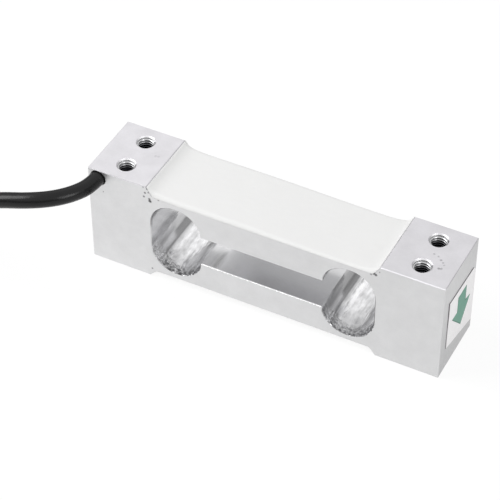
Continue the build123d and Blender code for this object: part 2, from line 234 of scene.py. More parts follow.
def build_mottle_group():
    """Shade variation, gloss variation and fine grain for moulded, printed and coated skins."""
    group = bpy.data.node_groups.new("skin_mottle", "ShaderNodeTree")
    for name, kind in (("Place", "NodeSocketVector"), ("Colour", "NodeSocketColor")):
        group.interface.new_socket(name, in_out="INPUT", socket_type=kind)
    for name in ("Variation", "Gloss", "Gloss Change", "Grain Size"):
        group.interface.new_socket(name, in_out="INPUT", socket_type="NodeSocketFloat")
    group.interface.new_socket("Colour", in_out="OUTPUT", socket_type="NodeSocketColor")
    group.interface.new_socket("Roughness", in_out="OUTPUT", socket_type="NodeSocketFloat")
    group.interface.new_socket("Height", in_out="OUTPUT", socket_type="NodeSocketFloat")
    given = group.nodes.new("NodeGroupInput").outputs
    made = group.nodes.new("NodeGroupOutput").inputs
    cloud = speckle(group, given["Place"], size=6.0, detail=4.0)
    lean = calculate(group, "SUBTRACT", cloud, 0.5)
    shade = calculate(group, "MULTIPLY_ADD", lean, given["Variation"], 1.0)
    group.links.new(tint(group, given["Colour"], shade), made["Colour"])
    patches = speckle(group, given["Place"], size=2.2, detail=3.0)
    gloss_lean = calculate(group, "SUBTRACT", patches, 0.5)
    gloss = calculate(group, "MULTIPLY_ADD", gloss_lean, given["Gloss Change"], given["Gloss"])
    group.links.new(gloss, made["Roughness"])
    fine = group.nodes.new("ShaderNodeTexNoise")
    fine.inputs["Detail"].default_value = 2.0
    group.links.new(given["Place"], fine.inputs["Vector"])
    group.links.new(calculate(group, "DIVIDE", 1.0, given["Grain Size"]), fine.inputs["Scale"])
    group.links.new(fine.outputs["Fac"], made["Height"])
    return group


skin_mottle = build_mottle_group()


def bump(tree, shader, height, depth):
    """Raises a height socket, from 0 to 1, by depth in millimetres on the shader's normal."""
    node = tree.nodes.new("ShaderNodeBump")
    node.inputs["Strength"].default_value = 1.0
    node.inputs["Distance"].default_value = depth * mm
    tree.links.new(height, node.inputs["Height"])
    tree.links.new(node.outputs["Normal"], shader.inputs["Normal"])


def plain_material(name):
    """A new material; gives it with its node tree and its shader."""
    material = bpy.data.materials.new(name)
    material.use_nodes = True
    tree = material.node_tree
    return material, tree, tree.nodes["Principled BSDF"]


def skin_material(
    name, colour, gloss, variation=0.2, gloss_change=0.2, grain=0.5, depth=0.01, metallic=0.0
):
    """A skin with mottled colour, uneven gloss and a fine grain; grain and depth in mm."""
    material, tree, shader = plain_material(name)
    shader.inputs["Metallic"].default_value = metallic
    mottle = tree.nodes.new("ShaderNodeGroup")
    mottle.node_tree = skin_mottle
    tree.links.new(place_in_mm(tree), mottle.inputs["Place"])
    mottle.inputs["Colour"].default_value = (*colour, 1.0)
    mottle.inputs["Variation"].default_value = variation
    mottle.inputs["Gloss"].default_value = gloss
    mottle.inputs["Gloss Change"].default_value = gloss_change
    mottle.inputs["Grain Size"].default_value = grain
    tree.links.new(mottle.outputs["Colour"], shader.inputs["Base Color"])
    tree.links.new(mottle.outputs["Roughness"], shader.inputs["Roughness"])
    bump(tree, shader, mottle.outputs["Height"], depth)
    return material


def dress(piece, material):
    """Gives a piece one material in place of any that it has."""
    piece.data.materials.clear()
    piece.data.materials.append(material)


jacket_black = (0.0055, 0.0055, 0.006)
jacket_sheen = 0.3
# Painted shadow on the jacket where it goes into the hole: near black, and dull
mouth_shadow_black = (0.001, 0.001, 0.001)
mouth_shadow_dulling = 0.7
mouth_shadow_starts = 0.9
mouth_shadow_full = 0.45
mouth_reach = 5.0


def jacket_material():
    """Black vinyl, rubbed to a soft sheen, with a painted shadow, near black and dull, where it
    goes into the hole's mouth.
    """
    material = skin_material(
        "jacket_vinyl",
        jacket_black,
        gloss=0.25,
        variation=0.8,
        gloss_change=0.3,
        grain=1.3,
        depth=0.04,
    )
    tree = material.node_tree
    shader = tree.nodes["Principled BSDF"]
    shader.inputs["Specular IOR Level"].default_value = jacket_sheen
    x, y, _ = axes_in_mm(tree)
    exit_x, exit_y, _ = cable_exit
    in_mouth = fade(tree, y, exit_y - mouth_shadow_starts, exit_y - mouth_shadow_full)
    at_exit = calculate(tree, "GREATER_THAN", x, exit_x - mouth_reach)
    mouth_shadow = calculate(tree, "MULTIPLY", in_mouth, at_exit)
    gloss = shader.inputs["Roughness"].links[0].from_socket
    dulled = calculate(tree, "MULTIPLY_ADD", mouth_shadow, mouth_shadow_dulling, gloss)
    tree.links.new(dulled, shader.inputs["Roughness"])
    vinyl = shader.inputs["Base Color"].links[0].from_socket
    tree.links.new(blend_colours(tree, mouth_shadow, vinyl, mouth_shadow_black), shader.inputs["Base Color"])
    return material


dress(signal_cable, jacket_material())


# Bare end of the cable: a shrunk black sleeve, from which the four stripped leads fan out.
# Each lead is coloured vinyl over a tinned strand; the shield's drain wire lies between them.
sleeve_plastic = skin_material(
    "sleeve_plastic", (0.02, 0.02, 0.021), gloss=0.55, variation=0.3, grain=0.6, depth=0.02
)
dress(cad_nodes["end_sleeve"], sleeve_plastic)
lead_vinyl_colours = {
    "red": (0.5, 0.02, 0.015),
    "green": (0.02, 0.25, 0.06),
    "black": (0.018, 0.018, 0.018),
    "white": (0.76, 0.76, 0.73),
}
for colour in lead_colours:
    lead_vinyl = skin_material(
        f"lead_vinyl_{colour}",
        lead_vinyl_colours[colour],
        gloss=0.32,
        variation=0.12,
        gloss_change=0.12,
        grain=0.3,
        depth=0.004,
    )
    dress(cad_nodes[f"tail_lead_{colour}"], lead_vinyl)
    dress(cad_nodes[f"inner_lead_{colour}"], lead_vinyl)
tinned_copper = skin_material(
    "tinned_copper", (0.7, 0.69, 0.66), gloss=0.28, variation=0.25, grain=0.15, metallic=1.0
)
for name in ("tinned_tips", "shield_drain_wire", "top_solder_pads", "bottom_solder_pads"):
    dress(cad_nodes[name], tinned_copper)


# Beam: one bar of aluminium alloy, sawn, milled to size and tumbled to a fine matte skin.
# The windows and the slot are milled through from the front, and keep their cutter marks.
beam_half_width = 13.65
beam_half_length = 65.0
beam_height = 40.0
recess_mouth = 42.6
recess_wall_run = 2.5
recess_floor = recess_mouth - recess_wall_run
top_recess_depth = 3.9
bottom_recess_depth = 3.0
flexure_thickness = 2.0
window_offset = 31.9
window_radius = 9.5
window_bottom = bottom_recess_depth + flexure_thickness
window_top = beam_height - top_recess_depth - flexure_thickness
window_axis = window_bottom + window_radius
slot_reach = 22.6
screw_offset = 54.0
screw_spacing = 13.3
metal_front = (0.70, 0.70, 0.705)
# The tops' metal is the front's made lighter and a little lilac: painted light on the faces that
# look up
painted_light_top_metal = (0.75, 0.74, 0.765)
metal_cut = (0.72, 0.72, 0.73)
# Painted shade deep inside the screw holes
painted_hole_shade = (0.035, 0.035, 0.04)
sealant_grime = (0.2, 0.2, 0.21)
nick_grey = (0.13, 0.13, 0.135)

# Painted reflections: strips of painted light and shade round each window's wall, as pairs of an
# angle,
# 0 at the wall's left and 90 at its bottom, and the strip's shade
first_window_painted_reflections = [
    (-60, 0.78),
    (-30, 0.8),
    (-18, 0.97),
    (-8, 1.04),
    (4, 1.04),
    (10, 0.92),
    (15, 0.8),
    (25, 0.8),
    (31, 0.93),
    (41, 1.0),
    (46, 0.72),
    (51, 0.88),
    (58, 1.02),
    (65, 0.85),
    (80, 1.08),
    (90, 1.06),
    (102, 1.06),
    (111, 0.8),
    (122, 0.8),
    (140, 1.15),
]
second_window_painted_reflections = [
    (-60, 1.1),
    (-10, 1.1),
    (1, 1.08),
    (5, 0.66),
    (11, 0.68),
    (16, 0.53),
    (25, 0.5),
    (31, 0.6),
    (42, 0.92),
    (46, 0.8),
    (50, 0.7),
    (55, 0.98),
    (60, 1.16),
    (67, 0.96),
    (76, 1.02),
    (100, 0.9),
    (112, 0.9),
    (122, 0.84),
    (140, 1.15),
]

# Painted light and shade along the slot's walls and its floor, and across the windows' painted
# dark strips from the front
slot_shades = [
    (-slot_reach, 1.12),
    (-16.0, 1.1),
    (-11.0, 0.94),
    (0.0, 0.91),
    (slot_reach, 0.96),
]
slot_floor_shades = [
    (-slot_reach, 0.97),
    (-20.2, 1.03),
    (-16.2, 1.01),
    (-14.2, 0.91),
    (-12.2, 0.89),
    (-8.2, 0.93),
    (-4.2, 0.97),
    (-2.2, 1.0),
    (slot_reach, 1.0),
]
dark_strip_shades = [
    (-beam_half_width, 1.12),
    (-10.5, 1.05),
    (-8.5, 0.74),
    (-5.0, 0.78),
    (-1.0, 1.0),
    (beam_half_width, 1.0),
]

# Nicks in the front face and in the top: each one's place, its reach and how dark it is
front_nicks = [
    (-41.3, 34.3, 0.62, 1.0),
    (-41.5, 35.1, 0.5, 0.85),
    (-43.1, 37.3, 0.42, 0.8),
    (-43.6, 35.5, 0.42, 0.8),
    (-42.2, 39.3, 0.42, 0.85),
    (-41.8, 37.9, 0.36, 0.7),
    (-43.7, 39.5, 0.3, 0.5),
    (-38.0, 36.0, 0.36, 0.7),
    (40.4, 36.6, 0.62, 1.0),
    (41.1, 36.2, 0.55, 0.9),
    (39.5, 35.8, 0.4, 0.6),
    (42.4, 37.9, 0.3, 0.5),
    (-41.6, 3.5, 0.34, 0.8),
    (-59.4, 31.3, 0.25, 0.6),
    (-57.9, 38.9, 0.3, 0.5),
]
top_nicks = [
    (59.2, -5.5, 0.5, 0.5),
    (59.9, -5.2, 0.5, 0.42),
    (58.3, -1.6, 0.45, 0.42),
    (59.4, -2.5, 0.4, 0.32),
    (60.1, -3.4, 0.35, 0.26),
    (56.9, -0.4, 0.4, 0.3),
    (55.2, 0.1, 0.4, 0.3),
    (-47.5, 1.7, 0.5, 0.17),
    (-46.5, 2.0, 0.5, 0.15),
]


def product(tree, *values):
    """Several values multiplied together."""
    result = values[0]
    for value in values[1:]:
        result = calculate(tree, "MULTIPLY", result, value)
    return result


def pick(tree, share, first, second):
    """The first value where the share is 0, the second where it is 1, and a mix between."""
    node = tree.nodes.new("ShaderNodeMix")
    for name, value in (("Factor", share), ("A", first), ("B", second)):
        tree.links.new(value, node.inputs[name])
    return node.outputs["Result"]


def pick_share(tree, share, value):
    """1 where the share is 0, and the value where it is 1."""
    return calculate(tree, "MULTIPLY_ADD", share, calculate(tree, "SUBTRACT", value, 1.0), 1.0)


def sway(tree, base, speckles, amount):
    """The base, raised or lowered by up to half the amount as the speckles go."""
    lowest = calculate(tree, "SUBTRACT", base, amount / 2)
    return calculate(tree, "MULTIPLY_ADD", speckles, amount, lowest)


def band(tree, value, rise, fall):
    """1 between two fades, each given by where it starts and finishes, and 0 outside them."""
    return product(tree, fade(tree, value, *rise), fade(tree, value, *fall))


def graph(tree, value, stops):
    """A shade read off a line through stops, each a value and its shade between 0 and 2."""
    first, last = stops[0][0], stops[-1][0]
    share = tree.nodes.new("ShaderNodeMapRange")
    tree.links.new(value, share.inputs["Value"])
    share.inputs["From Min"].default_value = first
    share.inputs["From Max"].default_value = last
    node = tree.nodes.new("ShaderNodeValToRGB")
    tree.links.new(share.outputs["Result"], node.inputs["Fac"])
    marks = node.color_ramp.elements
    while len(marks) < len(stops):
        marks.new(0.5)
    for mark, (place, shade) in zip(marks, stops):
        mark.position = (place - first) / (last - first)
        mark.color = (shade / 2, shade / 2, shade / 2, 1.0)
    return calculate(tree, "MULTIPLY", node.outputs["Color"], 2.0)


skin_depth = 0.03
cut_margin = 0.5


def in_cut_outs(tree, along, y, z):
    """1 on the walls of the windows and the slot, and 0 on the beam's other faces."""
    from_middle = calculate(tree, "ABSOLUTE", y)
    return product(
        tree,
        calculate(tree, "LESS_THAN", from_middle, beam_half_width - skin_depth),
        calculate(tree, "LESS_THAN", along, window_offset + window_radius + cut_margin),
        calculate(tree, "GREATER_THAN", z, window_bottom - cut_margin),
        calculate(tree, "LESS_THAN", z, window_top + cut_margin),
    )


edge_break = 0.2
# How far the painted shade and highlight on the front top edge reach
edge_line_reach = 0.27
recess_line_reach = 0.3
# The painted highlight along the right recess's mouth
recess_painted_highlight = 0.25


def tumbled_shade(tree, x, y, z, top, grain, clouds):
    """Cloudy and grainy, with painted light: paler towards the cable, a painted shade and a
    painted highlight on the front top edge, and a painted highlight along the right recess's
    mouth.
    """
    shade = sway(tree, sway(tree, 1.0, clouds, 0.22), grain, 0.08)
    front_painted_light = fade(tree, x, -60.0, 50.0, low=1.145, high=1.035)
    top_painted_light = fade(tree, x, -40.0, 40.0, low=1.035, high=0.975)
    to_edge = calculate(tree, "SUBTRACT", z, y)
    edge_start = beam_height + beam_half_width - edge_line_reach
    edge_line = calculate(tree, "GREATER_THAN", to_edge, edge_start)
    edge_painted_light = fade(tree, x, -1.0, 1.0, low=-0.3, high=0.14)
    top_painted_light = calculate(tree, "MULTIPLY_ADD", edge_line, edge_painted_light, top_painted_light)
    recess_line = calculate(tree, "COMPARE", x, recess_mouth, recess_line_reach)
    top_painted_light = calculate(tree, "MULTIPLY_ADD", recess_line, recess_painted_highlight, top_painted_light)
    return product(tree, shade, pick(tree, top, front_painted_light, top_painted_light))


def sawn_shade(tree, z):
    """Fine strokes that lean across the end face, duller towards the bottom."""
    strokes = speckle(
        tree, place_in_mm(tree, (1.0, 1.5, 0.3)), size=0.7, detail=4.0, roughness=0.65
    )
    dull = fade(tree, z, 36.0, 2.0, low=1.02, high=0.84)
    return sway(tree, dull, strokes, 0.24)


def turn_round_window(tree, x, z, side):
    """The angle in degrees round the nearer window's wall: 0 at its left, 90 at its bottom."""
    middle = calculate(tree, "MULTIPLY", side, window_offset)
    leftwards = calculate(tree, "SUBTRACT", middle, x)
    downwards = calculate(tree, "SUBTRACT", window_axis, z)
    turn = calculate(tree, "ARCTAN2", downwards, leftwards)
    return calculate(tree, "MULTIPLY", turn, math.degrees(1))


# Where each painted light or shade and each kind of wear on a window's wall fades in and out: by
# the angle round the wall
low_wall_turns = ((46.0, 53.0), (116.0, 98.0))
dark_strip_turns = ((2.0, 7.0), (50.0, 44.0))
wedge_turns = ((-28.0, -8.0), (12.0, 2.0))
high_wall_turns = (-36.0, -46.0)
rough_turns = (44.0, 54.0)
torn_turns = (4.0, 14.0)

# The same by the place across the beam, from its middle; the front is negative
low_fall_depths = (-12.5, 4.0)
low_rim_depths = (-12.2, -13.2)
high_rim_depths = (-12.0, -12.8)
wedge_depths = (-2.0, -7.0)
torn_depths = (-7.5, -11.5)
calm_depths = (-8.0, -2.0)


def window_shade(tree, turn, y, second, uneven, pits, tears):
    """The windows' walls: strips of painted reflection, a painted fall of light to the front, a
    painted dark strip, torn and ragged rims.
    """
    first_strips = graph(tree, turn, first_window_painted_reflections)
    second_strips = graph(tree, turn, second_window_painted_reflections)
    low_wall = band(tree, turn, *low_wall_turns)
    low_fall = fade(tree, y, *low_fall_depths, low=0.76, high=1.1)
    dark_strip = band(tree, turn, *dark_strip_turns)
    wedge = product(
        tree,
        band(tree, turn, *wedge_turns),
        fade(tree, y, *wedge_depths, high=0.3),
        calculate(tree, "SUBTRACT", 1.0, second),
    )
    torn = product(tree, tears, fade(tree, pits, 0.5, 0.4, high=0.3))
    ragged_depth = sway(tree, y, pits, 3.0)
    low_rim = product(tree, low_wall, fade(tree, ragged_depth, *low_rim_depths, high=0.3))
    high_wall = fade(tree, turn, *high_wall_turns)
    high_rim = product(tree, high_wall, fade(tree, y, *high_rim_depths, high=0.4))
    worn = uneven
    for wear in (torn, low_rim, high_rim, wedge):
        worn = calculate(tree, "SUBTRACT", worn, wear)
    return product(
        tree,
        pick(tree, second, first_strips, second_strips),
        worn,
        pick_share(tree, low_wall, low_fall),
        pick_share(tree, dark_strip, graph(tree, y, dark_strip_shades)),
    )


# Where the slot floor's painted light stripe lies, and where the painted highlight on its front
# lip starts
stripe_places = ((-19.7, -18.5), (-16.0, -17.0))
stripe_depths = (-5.0, -8.5)
front_lip_depths = (-13.38, -13.46)


def slot_shade(tree, x, y, z):
    """The slot's smooth walls: painted light and shade along them, a floor evened out towards the
    left with a painted light stripe, and a painted highlight on the front lip.
    """
    on_floor = calculate(tree, "LESS_THAN", z, window_axis)
    stripe = band(tree, x, *stripe_places)
    stripe = product(tree, stripe, fade(tree, y, *stripe_depths, low=0.08, high=0.25))
    floor_shade = calculate(tree, "ADD", graph(tree, x, slot_floor_shades), stripe)
    return product(
        tree,
        graph(tree, x, slot_shades),
        fade(tree, y, *front_lip_depths, low=1.0, high=1.36),
        pick_share(tree, on_floor, floor_shade),
    )


slot_blend = 0.4
smear_height = 3.5
chatter_height = 7.5
tear_height = 14.0


def milled_walls(tree, place, x, y, z, along):
    """Chatter across the cut-outs' walls, torn near the front, with painted reflections and shade;
    gives shade, roughness, height.
    """
    chatter_place = place_in_mm(tree, (1.0, 0.14, 1.0))
    chatter = speckle(tree, chatter_place, size=1.8, detail=2.0, roughness=0.5)
    smear_place = place_in_mm(tree, (1.0, 0.4, 1.0))
    smears = speckle(tree, smear_place, size=1.3, detail=2.0, roughness=0.5)
    pits = speckle(tree, place, size=1.1, detail=1.0, roughness=0.4)
    in_window = fade(tree, along, slot_reach - slot_blend, slot_reach)
    side = calculate(tree, "SIGN", x)
    second = fade(tree, side, -0.5, 0.5)
    turn = turn_round_window(tree, x, z, side)
    calmer = pick_share(tree, second, fade(tree, y, *calm_depths, low=0.3, high=1.0))
    rough_share = product(tree, fade(tree, turn, *rough_turns, low=0.12, high=1.0), calmer)
    streaks = sway(tree, sway(tree, 0.0, chatter, 0.8), smears, 0.8)
    uneven = calculate(tree, "MULTIPLY_ADD", streaks, rough_share, 1.03)
    tears = product(tree, fade(tree, turn, *torn_turns), fade(tree, y, *torn_depths))
    window = window_shade(tree, turn, y, second, uneven, pits, tears)
    shade = pick(tree, in_window, slot_shade(tree, x, y, z), window)
    ridges = product(tree, chatter, chatter_height)
    height = calculate(tree, "MULTIPLY_ADD", smears, smear_height, ridges)
    height = product(tree, height, rough_share)
    height = calculate(tree, "MULTIPLY_ADD", product(tree, pits, tears), tear_height, height)
    return shade, sway(tree, 0.17, chatter, 0.1), product(tree, height, in_window)


def nick_marks(tree, place, grain):
    """The nicks' dark ragged spots, as one share."""
    nicks = [((x, -beam_half_width, z), reach, dark) for x, z, reach, dark in front_nicks]
    nicks += [((x, y, beam_height), reach, dark) for x, y, reach, dark in top_nicks]
    marks = 0.0
    for centre, reach, darkness in nicks:
        apart = tree.nodes.new("ShaderNodeVectorMath")
        apart.operation = "DISTANCE"
        tree.links.new(place, apart.inputs[0])
        apart.inputs[1].default_value = centre
        ragged = calculate(tree, "MULTIPLY_ADD", grain, reach * 1.2, apart.outputs["Value"])
        mark = fade(tree, ragged, reach * 1.9, reach * 1.1, high=darkness)
        marks = calculate(tree, "MAXIMUM", marks, mark)
    return marks


grime_clearance = 0.4
grime_width = 0.42
grime_core = 0.14


def grime_along_recess(tree, x, z, along, grain):
    """Grime that the sealant leaves along the recess's end walls, less of it on the right."""
    wall_slope = recess_wall_run / top_recess_depth
    recess_level = beam_height - top_recess_depth
    wall_foot = recess_floor - recess_level * wall_slope
    wall_place = calculate(tree, "MULTIPLY_ADD", z, wall_slope, wall_foot)
    from_wall = calculate(tree, "ABSOLUTE", calculate(tree, "SUBTRACT", along, wall_place))
    return product(
        tree,
        fade(tree, from_wall, grime_width, grime_core),
        calculate(tree, "GREATER_THAN", z, recess_level + grime_clearance),
        fade(tree, x, -1.0, 1.0, low=1.0, high=0.55),
        fade(tree, grain, 0.35, 0.6, low=0.1, high=0.6),
    )


screw_wall = 3.2
# Where the painted shade in the screw holes starts and where it is full, in from the mouths
hole_shade_starts = 1.0
hole_shade_full = 3.6


def depth_in_hole(tree, z):
    """0 at a screw hole's mouths and 1 further in, where the painted shade is full."""
    from_top = calculate(tree, "SUBTRACT", beam_height, z)
    return fade(tree, calculate(tree, "MINIMUM", z, from_top), hole_shade_starts, hole_shade_full)


def painted_shade_in_holes(tree, y, z, along):
    """Painted shade inside the four screw holes, darker further in."""
    from_middle = calculate(tree, "ABSOLUTE", y)
    return product(
        tree,
        calculate(tree, "COMPARE", along, screw_offset, screw_wall),
        calculate(tree, "COMPARE", from_middle, screw_spacing / 2, screw_wall),
        depth_in_hole(tree, z),
    )


relief_depth = 0.03
scratch_depth = 0.5
nick_depth = 4.0


def beam_material():
    """Tumbled outside, milled inside the cut-outs, with a few nicks along the recess's corners,
    and with painted light, shade and reflections.
    """
    material, tree, shader = plain_material("beam_aluminium")
    shader.inputs["Metallic"].default_value = 1.0
    place = place_in_mm(tree)
    x, y, z = axes_in_mm(tree)
    along = calculate(tree, "ABSOLUTE", x)
    grain = speckle(tree, place, size=0.35, detail=3.0, roughness=0.6)
    clouds = speckle(tree, place, size=7.0, detail=5.0, roughness=0.6)
    scratch_place = place_in_mm(tree, (0.25, 1.6, 1.6))
    scratches = speckle(tree, scratch_place, size=1.4, detail=6.0, roughness=0.7)

    top = fade(tree, z, beam_height - 2 * edge_break, beam_height - edge_break)
    outside = blend_colours(tree, top, metal_front, painted_light_top_metal)
    shade = tumbled_shade(tree, x, y, z, top, grain, clouds)
    end_face = calculate(tree, "GREATER_THAN", along, beam_half_length - skin_depth)
    outside = tint(tree, outside, pick(tree, end_face, shade, sawn_shade(tree, z)))
    cut = in_cut_outs(tree, along, y, z)
    cut_shade, cut_roughness, cut_height = milled_walls(tree, place, x, y, z, along)
    colour = blend_colours(tree, cut, outside, tint(tree, metal_cut, cut_shade))

    grime = grime_along_recess(tree, x, z, along, grain)
    colour = blend_colours(tree, grime, colour, sealant_grime)
    marks = nick_marks(tree, place, grain)
    colour = blend_colours(tree, marks, colour, nick_grey)
    colour = blend_colours(tree, painted_shade_in_holes(tree, y, z, along), colour, painted_hole_shade)
    tree.links.new(colour, shader.inputs["Base Color"])

    skin_roughness = sway(tree, 0.5, clouds, 0.16)
    roughness = pick(tree, cut, skin_roughness, cut_roughness)
    tree.links.new(roughness, shader.inputs["Roughness"])
    scratched = fade(tree, scratches, 0.66, 0.74)
    skin_height = calculate(tree, "MULTIPLY_ADD", scratched, -scratch_depth, grain)
    height = pick(tree, cut, skin_height, cut_height)
    dented = calculate(tree, "MULTIPLY_ADD", marks, -nick_depth, height)
    bump(tree, shader, dented, relief_depth)
    return material


dress(cad_nodes["beam_body"], beam_material())


# Threads: an M6 thread is cut through both end blocks, after the holes' mouths are countersunk.
# Each is a ridge wound up the hole's wall, its first and last turns cut away by the countersinks.
thread_outer = 3.04
thread_inner = 2.46
thread_pitch = 1.0
thread_inset = 0.45
root_half = 0.44
crest_half = 0.06
countersink_rim = 3.45
steps_per_turn = 32


def put_in_scene(name, mesh):
    """Makes a piece of a finished bmesh, shaded smooth, and adds it to the scene."""
    data = bpy.data.meshes.new(name)
    bmesh.ops.recalc_face_normals(mesh, faces=mesh.faces[:])
    mesh.to_mesh(data)
    mesh.free()
    data.shade_smooth()
    piece = bpy.data.objects.new(name, data)
    bpy.context.scene.collection.objects.link(piece)
    return piece


def cut_thread(centre_x, centre_y):
    """One hole's ridge: a tooth profile spun up the hole, then opened out at both countersinks."""
    turns = beam_height / thread_pitch - 2 * thread_inset
    mesh = bmesh.new()
    profile = [
        (thread_outer, -root_half),
        (thread_inner, -crest_half),
        (thread_inner, crest_half),
        (thread_outer, root_half),
    ]
    foot = thread_inset * thread_pitch
    corners = [mesh.verts.new((r * mm, 0, (foot + z) * mm)) for r, z in profile]
    tooth = mesh.faces.new(corners)
    bmesh.ops.spin(
        mesh,
        geom=[tooth],
        cent=(0, 0, 0),
        axis=(0, 0, 1),
        dvec=(0, 0, thread_pitch / steps_per_turn * mm),
        angle=2 * math.pi * turns,
        steps=round(turns * steps_per_turn),
    )
    for vert in mesh.verts:
        z = vert.co.z / mm
        reach = math.hypot(vert.co.x, vert.co.y) / mm
        mouth = countersink_rim - min(z, beam_height - z)
        opened = min(max(reach, mouth), thread_outer)
        vert.co.x *= opened / reach
        vert.co.y *= opened / reach
    bmesh.ops.translate(mesh, vec=(centre_x * mm, centre_y * mm, 0), verts=mesh.verts[:])
    return mesh


def thread_material():
    """Cut aluminium, bright at the holes' mouths and darkened further in by painted shade."""
    material = skin_material(
        "thread_metal", (0.6, 0.6, 0.61), gloss=0.25, grain=0.4, metallic=1.0
    )
    tree = material.node_tree
    shader = tree.nodes["Principled BSDF"]
    _, _, z = axes_in_mm(tree)
    bright = shader.inputs["Base Color"].links[0].from_socket
    shaded = blend_colours(tree, depth_in_hole(tree, z), bright, painted_hole_shade)
    tree.links.new(shaded, shader.inputs["Base Color"])
    return material


thread_metal = thread_material()
for end_name, end in (("cable_end", -1), ("label_end", 1)):
    for side_name, side in (("front", -1), ("back", 1)):
        thread = put_in_scene(
            f"thread_{end_name}_{side_name}",
            cut_thread(end * screw_offset, side * screw_spacing / 2),
        )
        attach(thread, "root")
        dress(thread, thread_metal)


# Strain gauges and their wiring: foil grids on amber film, glued to the flexures.
# Fine enamelled wires join them to two small solder strips, where the cable's leads end.
gauge_film = skin_material(
    "gauge_film", (0.5, 0.26, 0.05), gloss=0.35, gloss_change=0.15, grain=0.4, depth=0.005
)
gauge_foil = skin_material(
    "gauge_foil",
    (0.55, 0.43, 0.33),
    gloss=0.3,
    variation=0.15,
    gloss_change=0.15,
    grain=0.2,
    depth=0.004,
    metallic=1.0,
)
strip_board = skin_material(
    "strip_board", (0.05, 0.16, 0.07), gloss=0.45, gloss_change=0.15, grain=0.3
)
enamelled_copper = skin_material(
    "enamelled_copper",
    (0.5, 0.18, 0.06),
    gloss=0.25,
    variation=0.15,
    gloss_change=0.1,
    grain=0.3,
    depth=0.003,
    metallic=1.0,
)
resistor_ceramic = skin_material(
    "resistor_ceramic", (0.03, 0.03, 0.035), gloss=0.4, gloss_change=0.15, grain=0.2, depth=0.006
)
potting_resin = skin_material(
    "potting_resin", (0.02, 0.02, 0.02), gloss=0.35, variation=0.3, grain=0.8, depth=0.03
)
for face in ("top", "bottom"):
    for end_name in ("cable_end", "label_end"):
        dress(cad_nodes[f"gauge_film_{face}_{end_name}"], gauge_film)
        dress(cad_nodes[f"gauge_grid_{face}_{end_name}"], gauge_foil)
    dress(cad_nodes[f"{face}_solder_strip"], strip_board)
    dress(cad_nodes[f"{face}_bridge_wires"], enamelled_copper)
dress(cad_nodes["cross_wires"], enamelled_copper)
for name in ("zero_trim_resistor", "span_trim_resistor"):
    dress(cad_nodes[name], resistor_ceramic)
dress(cad_nodes["cable_potting"], potting_resin)


# Sealant: white silicone poured into both recesses over the gauges and their wires.
# It sinks as it cures, climbs the end walls in a soft curve and thins out to both long edges.
end_gap = 0.14
side_gap = 0.02
least_cover = 0.03
below_mouth = 0.02
climb = 2.4
climb_gap = 0.1
thinning_start = -12.0
thinning_length = 42.0
ripple_size, ripple_height = 7.0, 0.05
lump_size, lump_height = 1.6, 0.025


def skin_height(x, y, wall, floor, depth, deep_cover, thin_cover, edge_roll):
    """How high the cured skin lies over the recess's floor at one place."""
    slope = min(1.0, max(0.0, (x - thinning_start) / thinning_length))
    cover = deep_cover + (thin_cover - deep_cover) * slope * slope * (3 - 2 * slope)
    from_end = max(0.0, recess_mouth - climb_gap - abs(x))
    climbed = (depth - cover) * math.exp(-from_end / climb)
    ripple = noise.noise(Vector((x / ripple_size, y / ripple_size, floor))) * ripple_height
    lumps = noise.noise(Vector((x / lump_size, y / lump_size, floor))) * lump_height
    cover += climbed + ripple + lumps
    inward = min(1.0, max(0.0, (beam_half_width - abs(y)) / edge_roll))
    roll = math.sqrt(max(0.0, 1 - (1 - inward) ** 2))
    lowest = wall + least_cover
    cover = lowest + (max(cover, lowest) - lowest) * roll
    return min(cover, depth - below_mouth) if wall < depth else depth


def pour_sealant(name, face, floor, deep_cover, thin_cover, edge_roll):
    """Sealant over one recess, deep towards the cable and thin towards the label."""
    outward = 1 if face > floor else -1
    depth = abs(face - floor)
    half_size = (recess_mouth - end_gap, beam_half_width - side_gap, 1)
    mesh = bmesh.new()
    bmesh.ops.create_grid(mesh, x_segments=180, y_segments=60, size=1.0)
    bmesh.ops.scale(mesh, vec=half_size, verts=mesh.verts[:])
    under = mesh.verts[:]
    raised = bmesh.ops.extrude_face_region(mesh, geom=mesh.faces[:])
    over = [part for part in raised["geom"] if isinstance(part, bmesh.types.BMVert)]
    for layer in (under, over):
        for vert in layer:
            x, y = vert.co.x, vert.co.y
            wall = max(0.0, (abs(x) - recess_floor) / recess_wall_run) * depth
            lift = wall
            if layer is over:
                lift = skin_height(x, y, wall, floor, depth, deep_cover, thin_cover, edge_roll)
            vert.co = (x * mm, y * mm, (floor + outward * lift) * mm)
    return put_in_scene(name, mesh)


white_silicone = skin_material(
    "white_silicone", (0.885, 0.885, 0.88), gloss=0.7, variation=0.02, gloss_change=0.1, grain=1.2
)
top_floor = beam_height - top_recess_depth
for name, node, face, floor, deep_cover, thin_cover, edge_roll in (
    ("poured_sealant_top", "top_sealant", beam_height, top_floor, 1.4, 0.65, 1.0),
    ("poured_sealant_bottom", "bottom_sealant", 0.0, bottom_recess_depth, 1.4, 1.2, 4.5),
):
    sealant = pour_sealant(name, face, floor, deep_cover, thin_cover, edge_roll)
    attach(sealant, "root")
    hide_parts(node)
    dress(sealant, white_silicone)


# Load label: a white paper sticker cut by hand, with a green arrow that shows which way to load.
# Its cut edge is dark, and dark lines run in from it, most along the top and the front.
label_thickness = 0.15
label_face = beam_half_length + label_thickness
# The dark colour of the label's cut edge, and where the dark lines along its front and top run
label_edge_dark = (0.1, 0.085, 0.1)
front_dark_places = (-8.4, -8.85)
top_dark_heights = (28.95, 29.25)
top_edge_lean = 0.0495
cut_edge_depth = 0.01
ink_gap = 0.002
ink_thickness = 0.02
ink_rim_width = 0.7
arrow_outline = [
    (5.7, 26.0),
    (-1.3, 25.9),
    (-1.3, 19.3),
    (-5.5, 19.4),
    (2.85, 10.4),
    (9.75, 18.4),
    (5.7, 19.4),
]


